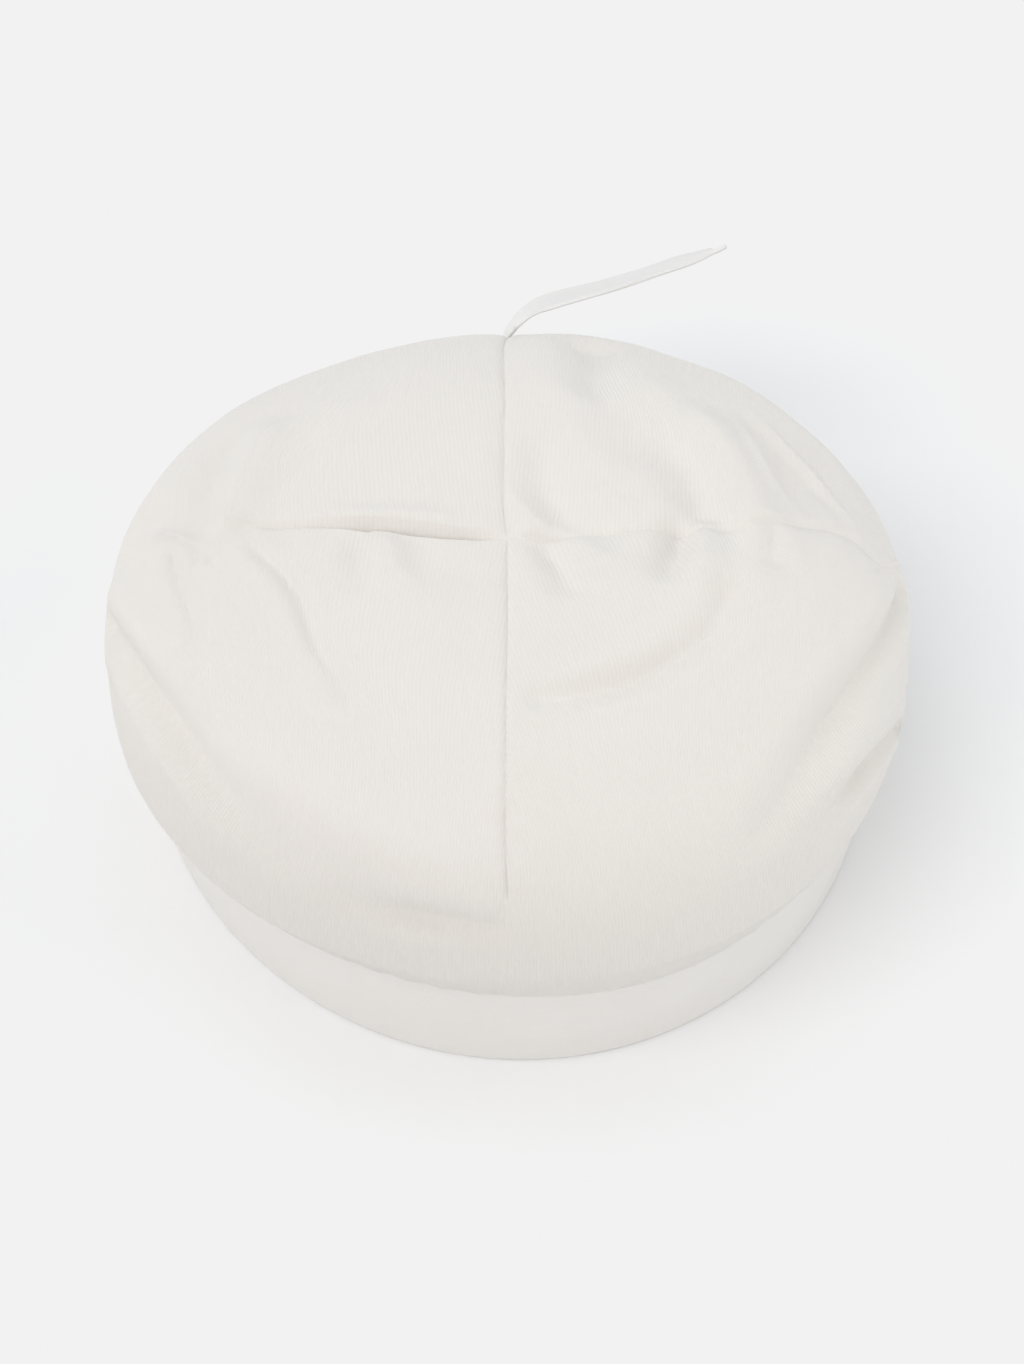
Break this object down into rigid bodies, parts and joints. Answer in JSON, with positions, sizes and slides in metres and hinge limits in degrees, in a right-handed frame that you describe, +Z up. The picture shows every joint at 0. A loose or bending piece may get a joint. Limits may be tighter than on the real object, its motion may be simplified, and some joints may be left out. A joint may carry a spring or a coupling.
{
  "type": "baby cap",
  "caption": "Soft off-white jersey baby cap with a darted, gently folded crown, a plain folded band at the rim and a bare cloth label at the back seam.",
  "frame": {"origin": "on the surface the rim stands on, under the middle of the cap's plan outline, label included", "axes": "+Z up, -Y towards the cap's front, +X to the right as seen from the front"},
  "size_m": [0.1402, 0.1592, 0.0577],
  "materials": {
    "crown_jersey": "matte",
    "band_jersey": "matte",
    "label_tape": "satin"
  },
  "bodies": {
    "root": {"crown": "crown_jersey", "band": "band_jersey", "label": "label_tape"}
  },
  "joints": []
}
